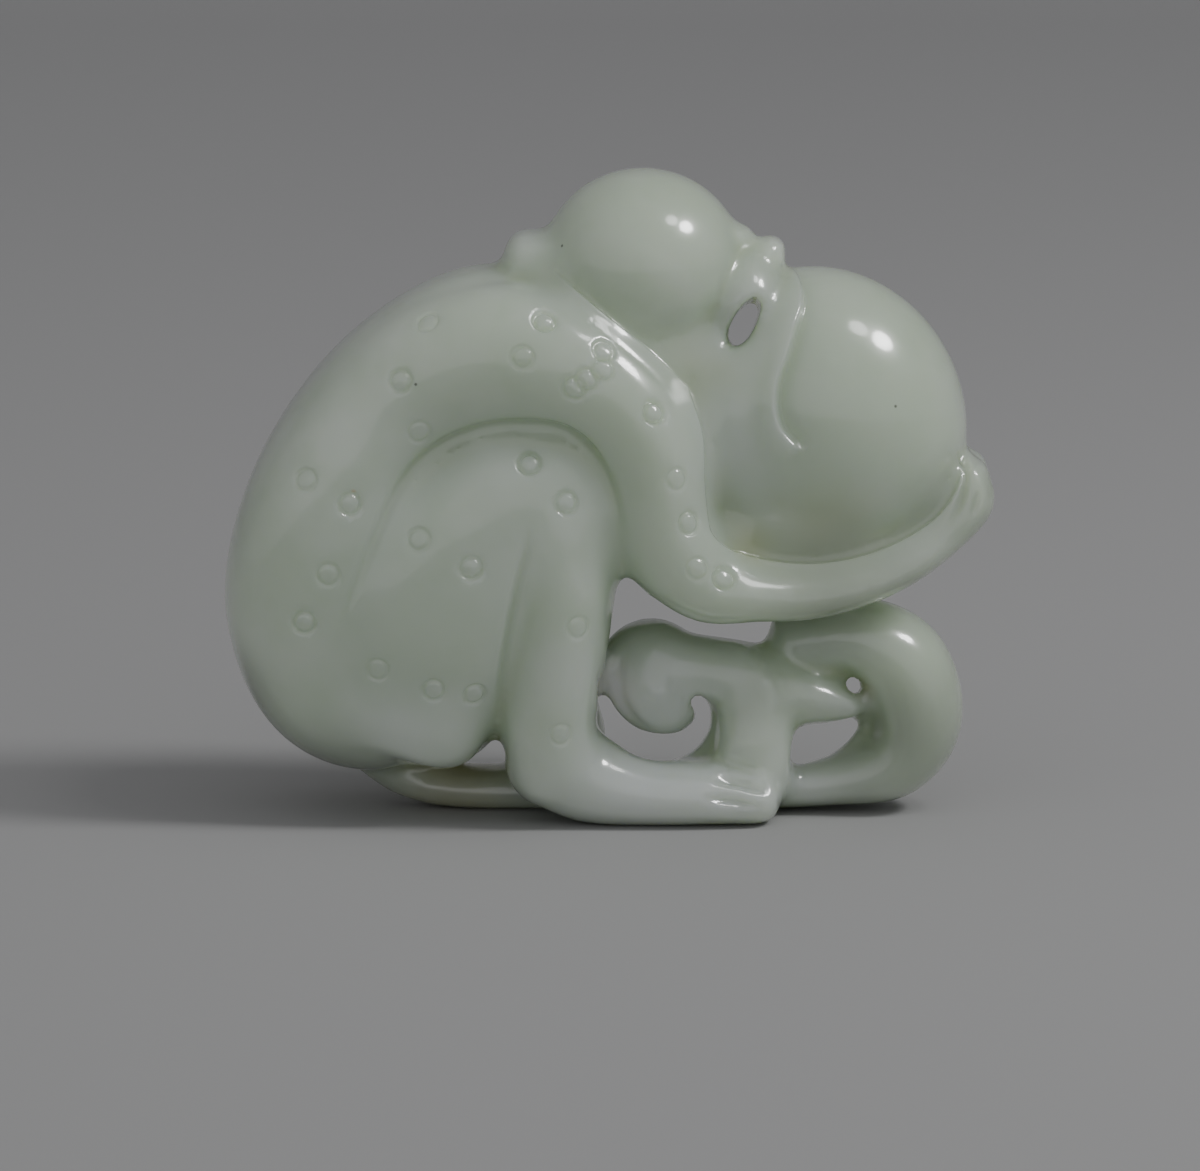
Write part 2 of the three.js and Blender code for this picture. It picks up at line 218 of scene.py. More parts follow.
# The arms: shoulder to elbow, then a forearm that runs under the gourd to the hand.
for side in (FRONT, BACK):
    limb([
        (-23.0, -4.4, 33.6, 6.2, 6.6), (-17.2, -4.8, 39.7, 6.7, 6.8), (-11.6, -5.2, 42.2, 7.0, 7.1),
        (-6.6, -5.6, 42.2, 6.8, 7.1), (-1.6, -6.2, 40.2, 6.0, 6.7), (2.4, -6.6, 36.8, 5.3, 6.3),
        (4.5, -6.9, 32.3, 4.6, 6.0), (4.9, -7.1, 28.0, 4.3, 5.8), (7.0, -7.2, 24.6, 4.2, 5.6),
    ], FULL, side)
    limb([
        (6.0, -7.2, 25.2, 4.8, 5.6), (9.1, -7.1, 22.4, 3.8, 5.5), (13.4, -6.9, 21.6, 2.8, 5.2),
        (18.0, -6.3, 21.5, 2.6, 4.9), (22.4, -5.5, 22.3, 2.4, 4.7), (26.6, -4.5, 23.9, 2.2, 4.5),
        (30.0, -3.6, 26.6, 2.4, 4.3), (32.0, -2.8, 29.4, 2.9, 4.2), (32.3, -2.2, 31.2, 2.1, 3.8),
    ], OVAL, side)

# The legs: a broad thigh up to the knee, a straight shin and a foot. The foot of the
# front leg is long, that of the back leg only a short stump.
for side in (FRONT, BACK):
    limb([
        (-18.8, -5.4, 12.0, 8.6, 5.8), (-17.2, -5.9, 16.6, 9.2, 6.4), (-13.8, -6.1, 22.4, 9.7, 6.5),
        (-8.2, -6.1, 27.1, 9.3, 6.4),
    ], PILLOW, side, around=56)
    round_mass((-6.7, -6.2 * side, 27.6), (8.1, 6.3, 8.8), PILLOW)
    limb([
        (-4.8, -6.3, 26.6, 5.7, 6.4), (-3.9, -6.7, 23.0, 4.6, 6.3), (-4.3, -6.8, 18.6, 4.4, 6.1),
        (-5.0, -6.6, 13.6, 4.3, 5.8), (-5.5, -6.3, 9.2, 4.3, 5.4), (-4.9, -6.0, 6.2, 4.5, 5.0),
    ], FULL, side)
limb([
    (-5.0, -5.9, 5.9, 4.6, 4.9), (-1.4, -5.6, 3.9, 4.0, 4.6), (3.8, -5.7, 2.9, 3.1, 4.4),
    (9.0, -5.7, 2.8, 2.9, 4.3), (13.2, -5.6, 2.5, 2.6, 4.0),
])
limb([(-5.2, 6.1, 5.4, 4.2, 4.6), (-3.6, 6.1, 2.9, 3.3, 4.4)])

# The gourd: a small upper lobe, a big lower lobe, the seat that joins it to the forearms,
# and a neck with the two bumps of its stem.
round_mass((2.95, 0, 50.4), (9.15, 9.4, 8.6))
round_mass((19.8, 0, 36.8), (12.1, 10.8, 13.7), lean=-32)
round_mass((12.8, 0, 36.8), (7.6, 9.4, 11.2), FULL)
round_mass((16.5, 0, 27.2), (11.0, 8.6, 5.6))
round_mass((12.3, 0, 45.8), (4.4, 7.2, 6.6))
round_mass((6.0, 0, 42.6), (5.6, 7.6, 5.2))
round_mass((11.7, -0.2, 53.0), (1.2, 2.7, 1.0), around=24, rings=14)
round_mass((14.5, -0.2, 51.5), (1.45, 3.0, 1.45), FLAT, around=24, rings=14)

# The vine: a stalk along the ground, a big loop with a tongue in it, an upright stem
# and a curl with a raised face.
limb([
    (-21.8, 2.2, 4.6, 1.7, 3.2), (-18.6, 2.2, 2.9, 2.0, 3.6), (-14.0, 2.2, 1.9, 2.0, 4.0),
    (-6.0, 2.2, 1.8, 2.0, 4.2), (4.0, 2.0, 1.8, 2.1, 4.4), (13.0, 1.4, 2.2, 2.5, 4.6),
])
limb([
    (13.0, 1.4, 2.4, 2.5, 4.6), (19.6, 1.2, 2.7, 2.4, 4.8), (25.6, 0.6, 4.3, 3.4, 5.2),
    (28.0, 0, 8.5, 4.2, 5.4), (26.4, 0, 13.7, 4.4, 5.4), (22.4, 0, 16.3, 3.5, 5.2),
    (17.4, 0.4, 15.8, 3.2, 4.6),
])
limb([(15.0, -1.6, 11.9, 3.2, 4.4), (19.0, -1.7, 10.9, 2.5, 3.9), (22.2, -1.6, 10.1, 1.3, 2.9)])
limb([
    (12.6, -2.2, 3.8, 3.9, 5.2), (13.2, -2.4, 6.6, 3.7, 5.4), (13.4, -2.0, 10.2, 3.6, 5.2),
    (13.2, -1.4, 12.6, 3.0, 4.8),
], FULL)
limb([(12.8, -1.2, 12.6, 3.0, 4.8), (9.6, -1.2, 13.2, 3.0, 4.6), (6.6, -1.4, 13.4, 3.2, 4.6)], FULL)
round_mass((4.7, -1.8, 12.2), (3.9, 3.9, 5.0), FLAT)
round_mass((3.8, -0.4, 12.2), (5.2, 4.4, 5.5), PILLOW)
round_mass((11.2, 0.6, 6.6), (3.2, 3.8, 5.4), FLAT)
round_mass((8.6, -0.6, 3.6), (3.4, 4.6, 3.0))
round_mass((20.6, 0.6, 11.4), (5.6, 2.8, 5.4))

rough_mesh = bpy.data.meshes.new("jade_carving_stone")
rough.to_mesh(rough_mesh)
rough.free()
stone = bpy.data.objects.new("jade_carving_stone", rough_mesh)
bpy.context.collection.objects.link(stone)

# The openings: pieces of wire saw and drill work that go right through, and slope down
# a little towards the back. Each is cut with a long bar of the opening's outline.
SLOPE = math.tan(math.radians(10))
BAR_REACH = 30
bars = bmesh.new()


def bar(outline):
    """A long bar along Y whose section is the outline, a list of (x, z) in millimetres."""
    front_end = [bars.verts.new(Vector((x, -BAR_REACH, z)) * MM) for x, z in outline]
    face = bars.faces.new(front_end)
    far = bmesh.ops.extrude_face_region(bars, geom=[face])["geom"]
    back_end = [g for g in far if isinstance(g, bmesh.types.BMVert)]
    bmesh.ops.translate(bars, vec=(0, 2 * BAR_REACH * MM, 0), verts=back_end)


def oval(at, half, lean=0.0, points=32):
    tilt = math.radians(lean)
    turns = np.linspace(0, 2 * math.pi, points, endpoint=False)
    ring = [(half[0] * math.cos(a), half[1] * math.sin(a)) for a in turns]
    return [
        (at[0] + x * math.cos(tilt) + z * math.sin(tilt), at[1] - x * math.sin(tilt) + z * math.cos(tilt))
        for x, z in ring
    ]


CORNER_PULL = 0.35


def rounded(corners, points=6):
    """A closed outline that passes smoothly through its corners."""
    count = len(corners)
    line = []
    for i in range(count):
        four = [np.array(corners[(i + k) % count], float) for k in (-1, 0, 1, 2)]
        m1, m2 = CORNER_PULL * (four[2] - four[0]), CORNER_PULL * (four[3] - four[1])
        for f in np.arange(points) / points:
            h = (2 * f**3 - 3 * f**2 + 1, f**3 - 2 * f**2 + f, 3 * f**2 - 2 * f**3, f**3 - f**2)
            line.append(tuple(h[0] * four[1] + h[1] * m1 + h[2] * four[2] + h[3] * m2))
    return line


def ribbon(stations, steps=40):
    """The outline of a curved gap from its stations (x, z, half the width)."""
    middle = [spline(stations, k / steps) for k in range(steps + 1)]
    left, right = [], []
    for k, (x, z, half) in enumerate(middle):
        ahead = middle[min(k + 1, steps)][:2] - middle[max(k - 1, 0)][:2]
        ahead = ahead / np.linalg.norm(ahead)
        left.append((x - ahead[1] * half, z + ahead[0] * half))
        right.append((x + ahead[1] * half, z - ahead[0] * half))
    return left + right[::-1]


bar(oval((11.9, 44.5), (1.05, 2.9), lean=28))
bar(oval((22.2, 11.6), (0.75, 1.05), lean=-35))
bar(rounded([(16.4, 4.2), (16.9, 7.6), (20.0, 8.1), (23.0, 8.8), (22.2, 6.9), (20.4, 5.2), (18.2, 4.4)]))
bar(ribbon([
    (-1.0, 13.4, 0.25), (-0.7, 11.0, 0.42), (0.2, 8.5, 0.8), (2.0, 6.6, 1.1), (4.4, 5.9, 1.2),
    (6.7, 6.2, 1.1), (8.2, 7.5, 0.8), (8.6, 8.9, 0.65), (8.1, 10.0, 0.7), (7.2, 10.3, 0.7),
]))
for v in bars.verts:
    v.co.z -= SLOPE * v.co.y
bmesh.ops.recalc_face_normals(bars, faces=bars.faces)
bars_mesh = bpy.data.meshes.new("saw_cuts")
bars.to_mesh(bars_mesh)
bars.free()
saw_cuts = bpy.data.objects.new("saw_cuts", bars_mesh)
bpy.context.collection.objects.link(saw_cuts)

# Grinding: the masses are made one closed skin, the openings are cut, and the sole is
# ground flat.
GRAIN = 0.5 * MM
FIRST_SKIN = 0.9


def finish_modifiers(piece):
    evaluated = piece.evaluated_get(bpy.context.evaluated_depsgraph_get())
    made = bpy.data.meshes.new_from_object(evaluated)
    piece.modifiers.clear()
    old = piece.data
    piece.data = made
    bpy.data.meshes.remove(old)


skin = stone.modifiers.new("one_skin", "REMESH")
skin.mode = "VOXEL"
skin.voxel_size = GRAIN * FIRST_SKIN
finish_modifiers(stone)
cut = stone.modifiers.new("openings", "BOOLEAN")
cut.operation = "DIFFERENCE"
cut.solver = "MANIFOLD"
cut.object = saw_cuts
finish_modifiers(stone)
bpy.data.objects.remove(saw_cuts)

ground = bmesh.new()
ground.from_mesh(stone.data)
everything = ground.verts[:] + ground.edges[:] + ground.faces[:]
cut_line = bmesh.ops.bisect_plane(
    ground, geom=everything, plane_co=(0, 0, 0), plane_no=(0, 0, 1), clear_inner=True,
)
rim = [g for g in cut_line["geom_cut"] if isinstance(g, bmesh.types.BMEdge)]
bmesh.ops.holes_fill(ground, edges=rim)
ground.to_mesh(stone.data)
ground.free()
skin = stone.modifiers.new("one_skin", "REMESH")
skin.mode = "VOXEL"
skin.voxel_size = GRAIN
finish_modifiers(stone)

# Polishing: everything is rubbed a little, and the broad seams between limbs much more,
# so that thigh, knee, shin and haunch, and the shoulder and the back, flow together.


class Surface:
    """The skin as numbers: places, normals and neighbours, in millimetres."""

    def __init__(self, mesh):
        self.mesh = mesh
        count = len(mesh.vertices)
        self.at = np.empty(count * 3)
        mesh.vertices.foreach_get("co", self.at)
        self.at = self.at.reshape(-1, 3) / MM
        pairs = np.empty(len(mesh.edges) * 2, int)
        mesh.edges.foreach_get("vertices", pairs)
        self.pairs = pairs.reshape(-1, 2)
        self.degree = np.bincount(self.pairs.ravel(), minlength=count)

    def average(self, values):
        """For every point, the mean of its neighbours."""
        a, b = self.pairs.T
        total = np.stack([
            np.bincount(a, values[b, k], len(values)) + np.bincount(b, values[a, k], len(values))
            for k in range(values.shape[1])
        ], axis=1)
        return total / np.maximum(self.degree, 1)[:, None]

    def rub(self, strength, times):
        for _ in range(times):
            self.at += strength[:, None] * (self.average(self.at) - self.at)

    def normals(self):
        self.write()
        out = np.empty(len(self.mesh.vertices) * 3)
        self.mesh.vertices.foreach_get("normal", out)
        return out.reshape(-1, 3)

    def write(self):
        self.mesh.vertices.foreach_set("co", (self.at * MM).ravel())
        self.mesh.update()


def near(surface, x, z, radius):
    """1 at (x, z) as seen square on, fading to 0 at the radius."""
    away = np.hypot(surface.at[:, 0] - x, surface.at[:, 2] - z)
    return np.clip(1 - away / radius, 0, 1) ** 0.7


def smooth_line(points):
    return np.array([spline(points, t) for t in np.linspace(0, 1, 6 * len(points))])


def nearest(line, places):
    """How far each place is from a line, negative on its right, and how far along, 0 to 1."""
    best = np.full(len(places), 1e9)
    signed = best.copy()
    along = np.zeros(len(places))
    for k, (a, b) in enumerate(zip(line, line[1:])):
        step = b - a
        t = np.clip((places - a) @ step / (step @ step), 0, 1)
        gap = places - a - t[:, None] * step
        away = np.hypot(*gap.T)
        closer = away < best
        best[closer] = away[closer]
        left = step[0] * gap[:, 1] - step[1] * gap[:, 0]
        signed[closer] = np.where(left > 0, away, -away)[closer]
        along[closer] = ((k + t) / (len(line) - 1))[closer]
    return signed, along


def facing(normals, side):
    """1 where the skin looks to the front (or the back), 0 where it looks away."""
    return np.clip(-4 * side * normals[:, 1], 0, 1)


# Where the limbs meet, x and z as seen square on.
KNEE_LINE = [
    (-24.6, 18.2), (-23.0, 22.2), (-21.1, 27.0), (-18.7, 31.8), (-15.9, 34.8), (-12.1, 36.7), (-8.4, 37.3),
    (-4.6, 36.9), (-1.9, 35.0), (0.1, 31.6), (1.0, 27.7), (1.0, 25.2),
]
SHIN_LINE = [(-7.1, 28.5), (-7.5, 26.2), (-8.4, 22.3), (-9.4, 16.5), (-9.8, 11.7), (-9.6, 8.5)]
ARM_EDGE = [(-5.1, 50.6), (-1.3, 47.6), (3.3, 43.9), (7.0, 40.3)]
ELBOW_EDGE = [(7.0, 40.3), (8.3, 36.2), (8.5, 32.0), (8.9, 28.2), (9.9, 26.4)]
CRADLE_EDGE = [
    (8.7, 29.6), (9.2, 27.4), (11.3, 25.6), (15.0, 24.6), (18.7, 24.4), (22.5, 24.9), (25.8, 26.0),
    (28.9, 27.9), (30.8, 30.0), (31.6, 32.1), (31.4, 34.0),
]
DOME_FOOT = [(10.7, 43.8), (9.0, 42.0), (7.0, 40.3)]

surface = Surface(stone.data)
crisp = np.maximum(near(surface, 13, 51.5, 4.5), near(surface, 12, 45.8, 3.5))
crisp = np.maximum(crisp, near(surface, 7.5, 11.5, 3))
surface.rub(0.5 * (1 - crisp), 3)
surface.rub(np.full(len(surface.at), 0.4), 1)
SEAM_SPOTS = [
    (-14, 14, 9), (-22, 12, 8), (-7, 30, 6), (-4, 25, 5), (-8, 26, 5), (-12, 31, 5), (-16, 24, 8),
    (-16, 43, 8), (-24, 36, 8), (-26, 26, 6), (15, 42, 4), (9, 41, 5), (6, 42.5, 5), (10, 32, 4),
    (13, 29, 5), (17, 27, 5), (7, 25, 4), (12, 12, 3), (9, 14, 3), (15, 12, 3), (-5, 7, 4), (12, 4, 3),
    (-5.6, 49.0, 2.4), (-5, 47.5, 3),
]
SEAM_LINES = [
    (KNEE_LINE, 4.4), (ARM_EDGE, 2.4), (ELBOW_EDGE, 2.6), (CRADLE_EDGE[2:9], 2.8), (DOME_FOOT, 3.5),
]
SPOT_RUBS = 26
LINE_RUBS = 44
soft = np.zeros(len(surface.at))
for x, z, radius in SEAM_SPOTS:
    soft = np.maximum(soft, near(surface, x, z, radius))
surface.rub(0.6 * soft * (1 - crisp), SPOT_RUBS)
flat = surface.at[:, (0, 2)]
soft = np.zeros(len(surface.at))
for line, radius in SEAM_LINES:
    away = np.abs(nearest(smooth_line(line), flat)[0])
    soft = np.maximum(soft, np.clip(1 - away / radius, 0, 1) ** 0.5)
soft *= 1 - near(surface, -4.2, 34.2, 3.5)
surface.rub(0.6 * soft * (1 - crisp), LINE_RUBS)
surface.write()

# How deep each place lies in a hollow, for the painted shade in the hollows: how far it would
# come out if the skin were rubbed until its small forms are gone.
BLUNT_RUBS = 60
smooth = Surface(stone.data)
smooth.rub(np.full(len(smooth.at), 0.5), BLUNT_RUBS)
depth = ((smooth.at - surface.at) * surface.normals()).sum(axis=1)
hollow = stone.data.attributes.new("hollow", "FLOAT", "POINT")
hollow.data.foreach_set("value", np.clip(depth, -1, 1))

# Lines and rings: the grooves between the limbs, the collar of the gourd, the hand, the
# toes and the curl, then the tube-drilled rings, deep, plain and faint. A groove is a line
# with its depth, its width and the share of its length over which each end runs out.
GROOVES = [
    (KNEE_LINE, 0.5, 0.5, 0.25), (SHIN_LINE, 0.55, 0.4, 0.5),
    ([(-9.0, 37.2), (-4.6, 36.9), (-1.9, 35.0), (0.1, 31.6)], 0.35, 0.9, 0.4),
    ([(31.4, 33.9), (32.0, 33.0), (31.7, 30.0), (30.3, 27.3)], 0.6, 0.35, 0.3),
    ([(33.2, 30.6), (32.6, 28.2)], 0.3, 0.35, 0.3),
    ([(9.4, 6.0), (11.6, 5.7), (14.0, 5.0)], 0.55, 0.5, 0.3),
    ([(9.0, 4.9), (11.6, 4.4), (14.6, 3.4)], 0.7, 0.45, 0.35),
    ([(8.0, 3.2), (11.0, 2.7), (14.0, 2.0)], 0.7, 0.45, 0.35),
    ([(1.6, 16.2), (0.9, 14.0), (1.0, 11.2), (2.2, 9.1), (4.2, 7.9)], 0.45, 0.5, 0.3),
    ([(-2.2, 46.6), (-1.1, 45.8), (2.7, 42.7), (5.9, 39.5)], 0.07, 0.22, 0.2),
]
# A ridge is a line with its height and its width.
RIDGES = [
    ([(9.1, 16.2), (10.7, 16.3), (11.9, 15.9), (12.8, 15.0)], 0.4, 0.5),
    ([(12.9, 14.8), (13.8, 13.4), (14.6, 11.8), (14.9, 10.0)], 0.5, 0.8),
    ([(3.0, 12.3), (4.1, 12.0), (5.4, 11.5)], 0.4, 0.7),
]
COLLAR = [
    (15.8, 50.6), (17.0, 49.4), (17.3, 47.6), (16.6, 45.4), (15.9, 43.1), (15.1, 40.8), (15.0, 38.4),
    (15.6, 36.6), (17.3, 34.8),
]
DEEP, PLAIN, FAINT = 0.45, 0.30, 0.17
RINGS = [
    (DEEP, [(-5.8, 46.7), (4.0, 38.6), (10.2, 23.6), (-7.2, 33.9)]),
    (PLAIN, [
        (-0.5, 44.1), (-0.6, 42.5), (-2.1, 41.6), (-3.2, 40.8), (-18.7, 41.3), (-23.2, 30.2), (-3.9, 30.4),
        (-12.4, 24.6), (-27.4, 19.4), (-15.8, 13.3), (-12.1, 12.8), (7.1, 28.6),
    ]),
    (FAINT, [
        (-7.8, 43.6), (-16.3, 46.4), (-17.0, 36.6), (-27.2, 32.3), (-25.2, 23.8), (-17.1, 27.1),
        (-20.8, 15.2), (-2.8, 19.2), (-4.4, 9.2), (6.0, 32.6), (7.8, 24.5),
    ]),
]
RING_RADIUS = 0.95
RING_WIDTH = 0.19
NUB_RADIUS = 0.42
NUB_SHARE = 0.25
WELL_OUTSIDE = 40


def closer_weave(wanted):
    """Halve the faces whose points are all wanted."""
    weave = bmesh.new()
    weave.from_mesh(stone.data)
    faces = [f for f in weave.faces if all(wanted[v.index] for v in f.verts)]
    edges = list(dict.fromkeys(e for f in faces for e in f.edges))
    bmesh.ops.subdivide_edges(weave, edges=edges, cuts=1, use_grid_fill=True)
    weave.to_mesh(stone.data)
    weave.free()
    return Surface(stone.data)


def near_lines(lines, reach):
    flat = surface.at[:, (0, 2)]
    wanted = np.zeros(len(flat), bool)
    for line in lines:
        wanted |= np.abs(nearest(smooth_line(line), flat)[0]) < reach
    return wanted & (facing(surface.normals(), FRONT) > 0)


def find(x, z, side):
    """The place on the skin that is met at (x, z) from the front or the back."""
    outside = Vector((x, -WELL_OUTSIDE * side, z)) * MM
    return np.array(skin_tree.ray_cast(outside, Vector((0, side, 0)))[0]) / MM


def near_rings(reach):
    wanted = np.zeros(len(surface.at), bool)
    for place, _ in ring_places:
        wanted |= np.linalg.norm(surface.at - place, axis=1) < reach
    return wanted


weave = bmesh.new()
weave.from_mesh(stone.data)
skin_tree = BVHTree.FromBMesh(weave)
weave.free()
ring_places = [(find(x, z, FRONT), depth) for depth, spots in RINGS for x, z in spots]
ring_places += [(find(x, z, BACK), depth) for depth, spots in RINGS[:1] for x, z in spots]

fine_lines = [groove[0] for groove in GROOVES] + [ridge[0] for ridge in RIDGES]
fine_lines += [COLLAR, ARM_EDGE, ELBOW_EDGE, CRADLE_EDGE]
sharp_lines = [COLLAR, ARM_EDGE]
surface = closer_weave(near_lines(fine_lines, 1.1) | near_rings(1.7))
surface.rub(0.5 * (near_lines(fine_lines, 1.4) | near_rings(1.9)), 3)
surface.write()
surface = closer_weave(near_rings(1.4) | near_lines(sharp_lines, 0.6))
surface.rub(0.5 * (near_rings(1.6) | near_lines(sharp_lines, 0.8)), 4)


# Cutting: each line is pressed into the skin along its normals, each ring is the mark of
# a tube drill, and the collar and the arm stand a little proud of the gourd beside them.
STEP_ROUNDING = 0.11
PROUD_REACH = 1.6


def groove(line, depth, width, fade, side=FRONT):
    away, along = nearest(smooth_line(line), surface.at[:, (0, 2)])
    ends = np.clip(np.minimum(along, 1 - along) / fade, 0.05, 1)
    press = depth * ends * facing(normals, side) * np.exp(-((away / width) ** 2))
    surface.at -= press[:, None] * normals


def step_edge(line, rise, drop, fade_in, fade_out, back=0.9):
    """A step along a line: its right side stands proud with a rounded edge, its left is cut back."""
    away, along = nearest(line, surface.at[:, (0, 2)])
    ends = np.clip(along / fade_in, 0, 1) * np.clip((1 - along) / fade_out, 0, 1) * facing(normals, FRONT)
    low_side = 0.5 + 0.5 * np.tanh(away / STEP_ROUNDING)
    proud = rise * (1 - low_side) * np.exp(-((away / PROUD_REACH) ** 2))
    cut_back = drop * low_side * np.exp(-((away / back) ** 2))
    surface.at += ((proud - cut_back) * ends)[:, None] * normals


normals = surface.normals()
for line, depth, width, fade in GROOVES:
    groove(line, depth, width, fade)
for line, depth, width, fade in GROOVES[:2]:
    groove(line, 0.7 * depth, 1.2 * width, fade, BACK)
for line, height, width in RIDGES:
    groove(line, -height, width, 0.4)
whole_arm_edge = np.concatenate([smooth_line(ARM_EDGE), smooth_line(ELBOW_EDGE)[1:]])
step_edge(smooth_line(COLLAR), rise=0.55, drop=0.46, fade_in=0.35, fade_out=0.05)
step_edge(whole_arm_edge, rise=0.28, drop=0.42, fade_in=0.08, fade_out=0.7)
step_edge(smooth_line(CRADLE_EDGE), rise=0.16, drop=0.55, fade_in=0.25, fade_out=0.15, back=1.3)

normals = surface.normals()
for place, depth in ring_places:
    away = np.linalg.norm(surface.at - place, axis=1)
    ring = depth * np.exp(-(((away - RING_RADIUS) / RING_WIDTH) ** 2))
    nub = NUB_SHARE * depth * np.exp(-((away / NUB_RADIUS) ** 2))
    surface.at -= (ring - nub)[:, None] * normals
surface.write()
stone.data.shade_smooth()

# The stone: pale nephrite, waxy and a little see-through, cloudy inside, with olive painted shade
# in the hollows. The spots below are painted light and shade: ochre, olive and smoke painted shade,
# milk and cream painted light. A spot is a ball in the stone: its middle, its radius, how strong
# it is there, and its tint.
BODY = (0.53, 0.62, 0.50)
PALE_CLOUD = (0.64, 0.70, 0.63)
GREEN_CLOUD = (0.46, 0.56, 0.42)
OCHRE_PAINTED_SHADE = (0.44, 0.42, 0.26)
OLIVE_PAINTED_SHADE = (0.50, 0.56, 0.33)
MILK_PAINTED_LIGHT = (0.66, 0.71, 0.68)
CREAM_PAINTED_LIGHT = (0.95, 0.95, 0.86)
SMOKE_PAINTED_SHADE = (0.31, 0.36, 0.29)
PAINTED_LIGHT_AND_SHADE = [
    # Ochre painted shade: the strip along the ground and the low back, which lie in shadow, and the hollow
    # by the drilled eye.
    ((-14.0, 2.0, 2.0), 9.0, 0.9, OCHRE_PAINTED_SHADE),
    ((-27.0, 7.0, 5.0), 11.0, 0.5, OCHRE_PAINTED_SHADE),
    ((23.4, -3.0, 11.8), 1.8, 0.6, OCHRE_PAINTED_SHADE),
    # Olive painted shade in recesses: the web above the tongue, by the slot, under the gourd where it
    # meets the forearm, between the fold and the dome, and between the dome and the arm.
    ((17.5, 0.0, 14.0), 3.5, 0.35, OLIVE_PAINTED_SHADE),
    ((12.0, -8.0, 46.2), 2.6, 0.5, OLIVE_PAINTED_SHADE),
    ((12.6, -8.0, 25.8), 3.4, 0.8, OLIVE_PAINTED_SHADE),
    ((19.0, -8.0, 26.5), 8.0, 0.5, OLIVE_PAINTED_SHADE),
    ((-7.0, 0.0, 50.0), 3.6, 0.4, OLIVE_PAINTED_SHADE),
    ((8.0, -8.0, 42.0), 5.0, 0.3, OLIVE_PAINTED_SHADE),
    # Milky painted light: the haunch, the shin, the foot and vine at the bottom, the curl and the stem
    # made lighter where the lamps leave them in shade.
    ((-19.0, -11.0, 9.0), 8.0, 0.45, MILK_PAINTED_LIGHT),
    ((-4.0, -12.0, 15.0), 6.0, 0.4, MILK_PAINTED_LIGHT),
    ((2.0, -9.0, 2.5), 15.0, 0.6, MILK_PAINTED_LIGHT),
    # Cream painted light on the curl's rim, which lies in shade between the shin and the curl.
    ((0.2, -4.4, 11.6), 4.6, 0.9, CREAM_PAINTED_LIGHT),
    ((4.0, -5.0, 12.5), 6.5, 0.5, MILK_PAINTED_LIGHT),
    ((10.0, -2.0, 11.0), 5.0, 0.4, MILK_PAINTED_LIGHT),
    # Smoke-grey painted shade: the thin forearm, hand, loop, stem and tongue made darker as if light
    # passed through them, and the low back and haunch made darker where they turn away from the light.
    ((20.0, -9.0, 20.5), 11.0, 0.95, SMOKE_PAINTED_SHADE),
    ((32.0, -4.0, 28.0), 8.5, 0.9, SMOKE_PAINTED_SHADE),
    ((28.0, -3.0, 8.0), 11.0, 1.0, SMOKE_PAINTED_SHADE),
    ((22.0, -4.0, 3.0), 6.0, 0.6, SMOKE_PAINTED_SHADE),
    ((13.5, -7.0, 10.0), 5.0, 0.5, SMOKE_PAINTED_SHADE),
    ((19.5, -6.0, 11.0), 4.0, 0.4, SMOKE_PAINTED_SHADE),
    ((-25.0, -6.0, 4.5), 9.5, 0.9, SMOKE_PAINTED_SHADE),
    ((-31.5, -4.0, 13.0), 7.5, 0.9, SMOKE_PAINTED_SHADE),
    ((26.5, -8.0, 21.8), 6.0, 0.8, SMOKE_PAINTED_SHADE),
    # Milky painted light under the gourd, which lies in shade.
    ((11.5, -9.0, 36.0), 6.0, 0.4, MILK_PAINTED_LIGHT),
]
SPECKS = [(-4.3, 52.6), (25.5, 38.7), (-17.3, 41.0)]
SPECK_TINT = (0.10, 0.12, 0.08)
RUST_SPOT = (-22.9, 31.3)
RUST_TINT = (0.55, 0.32, 0.12)
jade = bpy.data.materials.new("jade")
jade.use_nodes = True
nodes, links = jade.node_tree.nodes, jade.node_tree.links
shader = nodes["Principled BSDF"]
inside = nodes.new("ShaderNodeTexCoord")


def blend_in(colour, amount_socket, tint):
    """The colour socket with the tint mixed in by the amount."""
    mix = nodes.new("ShaderNodeMix")
    mix.data_type = "RGBA"
    links.new(amount_socket, mix.inputs["Factor"])
    links.new(colour, mix.inputs["A"])
    mix.inputs["B"].default_value = (*tint, 1)
    return mix.outputs["Result"]


def cloud(size_mm, low, high, strength):
    noise = nodes.new("ShaderNodeTexNoise")
    noise.inputs["Scale"].default_value = 1000 / size_mm
    noise.inputs["Detail"].default_value = 3
    links.new(inside.outputs["Object"], noise.inputs["Vector"])
    spread = nodes.new("ShaderNodeMapRange")
    spread.inputs["From Min"].default_value = low
    spread.inputs["From Max"].default_value = high
    spread.inputs["To Max"].default_value = strength
    links.new(noise.outputs["Fac"], spread.inputs["Value"])
    return spread.outputs[0]


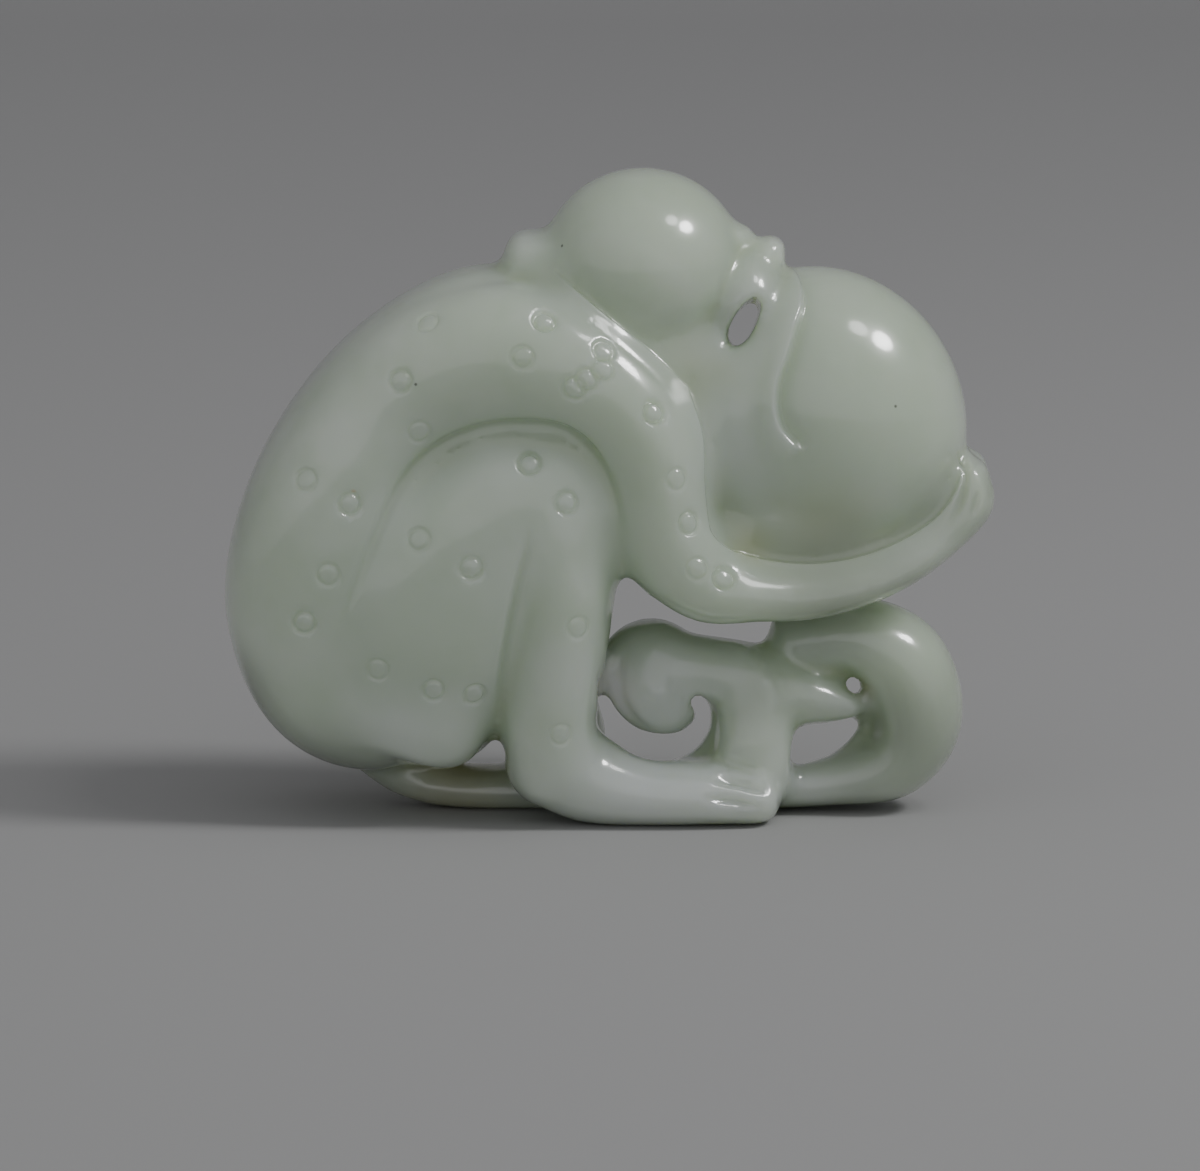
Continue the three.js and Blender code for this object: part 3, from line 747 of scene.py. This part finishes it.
def spot(place, radius, strength, edge=0.0):
    away = nodes.new("ShaderNodeVectorMath")
    away.operation = "DISTANCE"
    links.new(inside.outputs["Object"], away.inputs[0])
    away.inputs[1].default_value = Vector(place) * MM
    fall = nodes.new("ShaderNodeMapRange")
    fall.interpolation_type = "SMOOTHSTEP"
    fall.inputs["From Min"].default_value = edge * radius * MM
    fall.inputs["From Max"].default_value = radius * MM
    fall.inputs["To Min"].default_value = strength
    fall.inputs["To Max"].default_value = 0
    links.new(away.outputs["Value"], fall.inputs["Value"])
    return fall.outputs[0]


body_colour = nodes.new("ShaderNodeRGB")
body_colour.outputs[0].default_value = (*BODY, 1)
colour = blend_in(body_colour.outputs[0], cloud(14, low=0.45, high=0.75, strength=0.7), PALE_CLOUD)
colour = blend_in(colour, cloud(5, low=0.5, high=0.75, strength=0.35), GREEN_CLOUD)
# Painted shade: an olive tint mixed in where the skin lies deep in a hollow, where shade falls.
deep = nodes.new("ShaderNodeAttribute")
deep.attribute_name = "hollow"
painted_shade_in_hollows = nodes.new("ShaderNodeMapRange")
painted_shade_in_hollows.inputs["From Min"].default_value = 0.1
painted_shade_in_hollows.inputs["From Max"].default_value = 0.8
painted_shade_in_hollows.inputs["To Max"].default_value = 0.5
links.new(deep.outputs["Fac"], painted_shade_in_hollows.inputs["Value"])
colour = blend_in(colour, painted_shade_in_hollows.outputs[0], OLIVE_PAINTED_SHADE)
# Painted light and shade: each spot mixes its tint in around its middle.
for place, radius, strength, tint in PAINTED_LIGHT_AND_SHADE:
    colour = blend_in(colour, spot(place, radius, strength), tint)
for x, z in SPECKS:
    speck = spot(find(x, z, FRONT), radius=0.2, strength=0.9, edge=0.3)
    colour = blend_in(colour, speck, SPECK_TINT)
rust = spot(find(*RUST_SPOT, FRONT), radius=0.35, strength=0.5)
colour = blend_in(colour, rust, RUST_TINT)
links.new(colour, shader.inputs["Base Color"])
shader.inputs["Roughness"].default_value = 0.26
shader.inputs["IOR"].default_value = 1.6
shader.inputs["Subsurface Weight"].default_value = 1.0
shader.inputs["Subsurface Radius"].default_value = (1.0, 1.0, 0.8)
shader.inputs["Subsurface Scale"].default_value = 0.014
shader.inputs["Coat Weight"].default_value = 1.0
shader.inputs["Coat IOR"].default_value = 1.7
shader.inputs["Coat Roughness"].default_value = 0.10
stone.data.materials.clear()
stone.data.materials.append(jade)

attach(stone, "root")
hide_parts("jade_carving")
